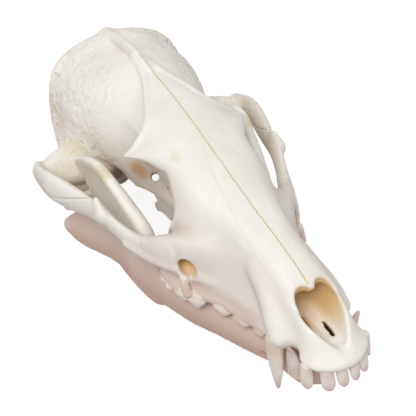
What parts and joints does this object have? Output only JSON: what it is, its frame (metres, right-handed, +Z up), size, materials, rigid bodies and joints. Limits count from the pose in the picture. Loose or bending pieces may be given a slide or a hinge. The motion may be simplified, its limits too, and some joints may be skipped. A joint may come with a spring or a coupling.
{
  "type": "raccoon dog skull",
  "caption": "Life-size canid skull with its lower jaw closed: long muzzle, round braincase, slender cheek arches and fused teeth, resting on its jaws.",
  "frame": {"origin": "centre of the bounding box at the level of the table that the skull lies on", "axes": "+Z up from the table; -Y towards the nose; +X towards the animal's left; the skull is symmetric about X = 0 but for a slight bend of the snout"},
  "size_m": [0.0728, 0.1274, 0.0524],
  "materials": {
    "bone": "dry bleached bone, slightly glossier on the teeth"
  },
  "bodies": {
    "root": {"cranium": "bone", "zygomatic_left": "bone", "zygomatic_right": "bone", "mandible_left": "bone", "mandible_right": "bone"}
  },
  "joints": []
}
